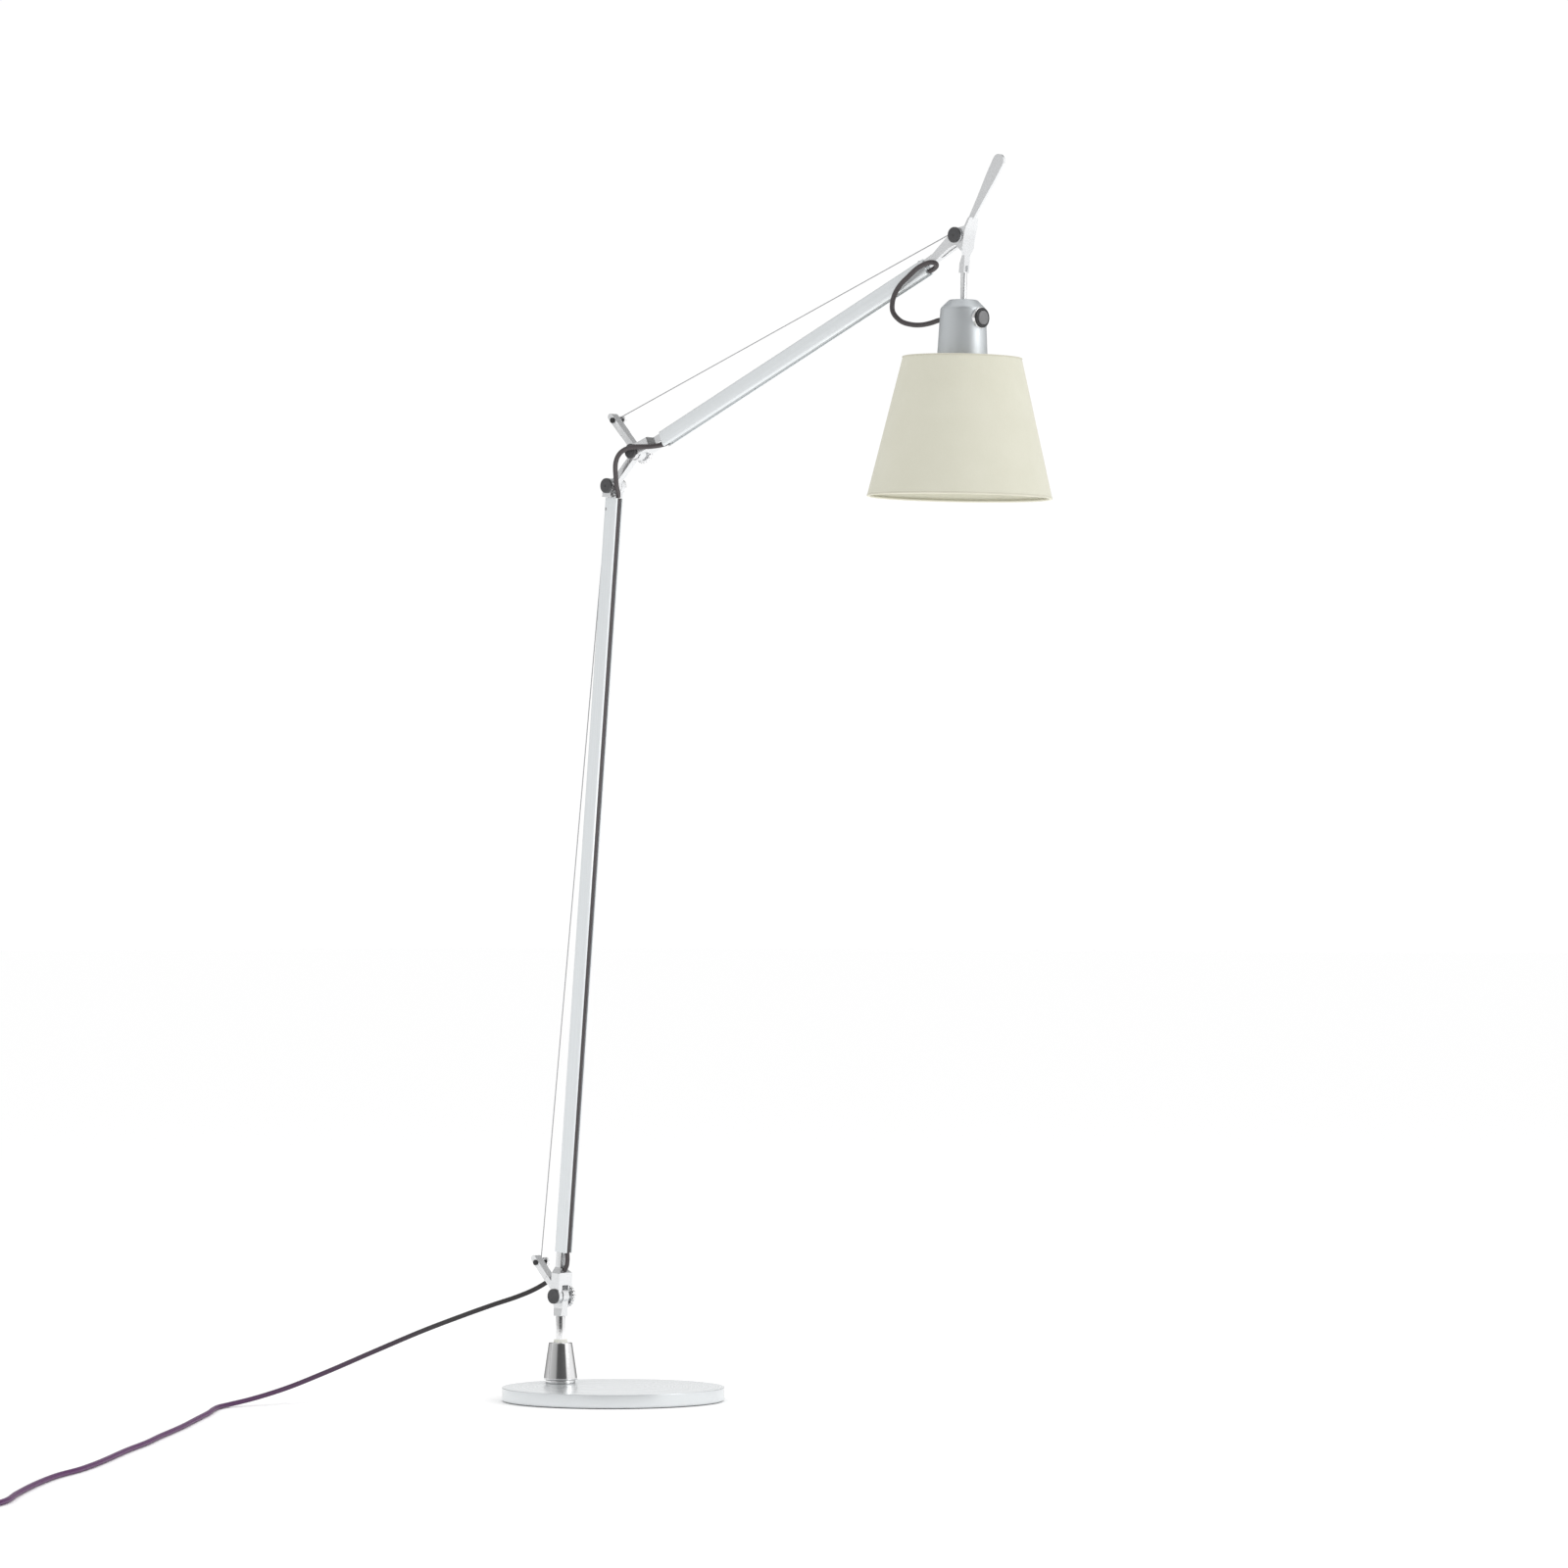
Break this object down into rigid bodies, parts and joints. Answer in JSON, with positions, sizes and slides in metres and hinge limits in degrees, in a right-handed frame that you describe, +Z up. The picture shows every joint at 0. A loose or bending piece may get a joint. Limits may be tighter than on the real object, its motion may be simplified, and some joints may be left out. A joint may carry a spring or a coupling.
{
  "type": "adjustable arm floor lamp",
  "caption": "Floor-standing reading lamp with a round weighted base, swivelling stem, two wire-balanced arms, elbow link and a tilting head with a conical shade.",
  "frame": {"origin": "centre of the base's underside, on the floor", "axes": "+Z up; the arms swing in the XZ plane and reach towards +X; the black joint caps face -Y"},
  "size_m": [0.7944, 1.4281, 1.2477],
  "materials": {
    "satin_metal": "satin silver, fine turned grain",
    "anodised_metal": "anodised extrusion, long fine grain",
    "polished_metal": "polished casting",
    "ballast_iron": "raw cast",
    "black_rubber": "matt",
    "steel": "bright steel",
    "steel_wire": "stranded thin wire",
    "nylon": "natural",
    "grey_plastic": "fine moulded texture",
    "black_plastic": "moulded",
    "lamp_cable": "smooth round cable",
    "mains_cable": "smooth round cable",
    "porcelain": "glazed",
    "opal_glass": "opal",
    "shade_parchment": "parchment paper, fine fibres",
    "shade_trim": "rolled edge"
  },
  "bodies": {
    "base": {"base_cover": "satin_metal", "base_ballast": "ballast_iron", "base_rubber_pad": "black_rubber", "base_clamp_screw": "steel", "socket_foot_ring": "polished_metal", "cone_socket": "polished_metal", "stem_bushing": "nylon", "mains_cord": "mains_cable", "mains_cord_coil": "mains_cable", "coil_tie": "black_plastic", "plug": "black_plastic"},
    "stem": {"stem_rod": "polished_metal", "stem_head_lever": "polished_metal", "lower_pivot_pin": "steel", "lower_pivot_cap": "grey_plastic", "lower_wire_pin": "black_plastic", "lower_wire_nut": "polished_metal"},
    "lower_knob": {"lower_tension_knob": "polished_metal"},
    "lower_arm": {"lower_arm_fork": "polished_metal", "stem_jumper_cable": "lamp_cable", "lower_arm_profile": "anodised_metal", "lower_groove_cable": "lamp_cable", "lower_wire_pulley": "steel", "lower_pulley_axle": "steel", "lower_spring": "steel", "lower_balance_wire": "steel_wire", "lower_arm_top_fork": "polished_metal", "elbow_low_bolt": "polished_metal", "elbow_low_cap": "grey_plastic"},
    "elbow": {"elbow_bracket": "polished_metal", "elbow_high_pin": "steel", "elbow_high_cap": "grey_plastic", "elbow_wire_pin": "black_plastic", "elbow_wire_nut": "polished_metal", "elbow_cable_lower": "lamp_cable", "elbow_cable_upper": "lamp_cable"},
    "elbow_knob": {"elbow_tension_knob": "polished_metal"},
    "upper_arm": {"upper_arm_fork": "polished_metal", "upper_arm_profile": "anodised_metal", "upper_groove_cable": "lamp_cable", "upper_spring": "steel", "upper_arm_end_fork": "polished_metal", "upper_balance_wire": "steel_wire", "upper_wire_pulley": "steel", "head_pivot_bolt": "polished_metal", "head_pivot_cap": "grey_plastic", "end_fork_screw": "steel"},
    "head": {"head_hanger": "polished_metal", "socket_housing": "satin_metal", "switch_barrel": "polished_metal", "switch_ring": "black_plastic", "cable_grommet": "black_rubber", "lamp_holder": "porcelain", "bulb_cap": "steel", "bulb_globe": "opal_glass", "shade": "shade_parchment", "shade_bottom_rim": "shade_trim", "shade_spider": "polished_metal", "head_loop_cable": "lamp_cable"},
    "button": {"switch_button": "grey_plastic"}
  },
  "joints": [
    {"name": "stem_swivel", "type": "hinge", "parent": "base", "child": "stem", "pos_m": [-0.077, 0, 0.04], "axis": [0, 0, 1], "range_deg": [-170, 170], "deforming": ["mains_cord"]},
    {"name": "lower_arm_pivot", "type": "hinge", "parent": "stem", "child": "lower_arm", "pos_m": [-0.077, 0, 0.105], "axis": [0, 1, 0], "range_deg": [-14, 40], "deforming": ["lower_balance_wire", "stem_jumper_cable", "mains_cord"]},
    {"name": "lower_knob_turn", "type": "hinge", "parent": "stem", "child": "lower_knob", "pos_m": [-0.077, 0, 0.105], "axis": [0, 1, 0], "range_deg": [-120, 120]},
    {"name": "elbow_low_pivot", "type": "hinge", "parent": "lower_arm", "child": "elbow", "pos_m": [-0.00051, 0, 0.94543], "axis": [0, 1, 0], "range_deg": [-30, 30], "deforming": ["elbow_cable_lower", "elbow_cable_upper"]},
    {"name": "elbow_high_pivot", "type": "hinge", "parent": "elbow", "child": "upper_arm", "pos_m": [0.03485, 0, 0.97935], "axis": [0, 1, 0], "range_deg": [-45, 45], "deforming": ["upper_balance_wire", "elbow_cable_upper"]},
    {"name": "elbow_knob_turn", "type": "hinge", "parent": "elbow", "child": "elbow_knob", "pos_m": [0.03485, 0, 0.97935], "axis": [0, 1, 0], "range_deg": [-120, 120]},
    {"name": "head_tilt", "type": "hinge", "parent": "upper_arm", "child": "head", "pos_m": [0.47986, 0, 1.17099], "axis": [0, 1, 0], "range_deg": [-70, 30], "deforming": ["head_loop_cable"]},
    {"name": "switch_press", "type": "slide", "parent": "head", "child": "button", "axis": [-0.9997, 0, 0.0262], "range_m": [0, 0.0025], "stiffness_N_per_m": 400}
  ]
}
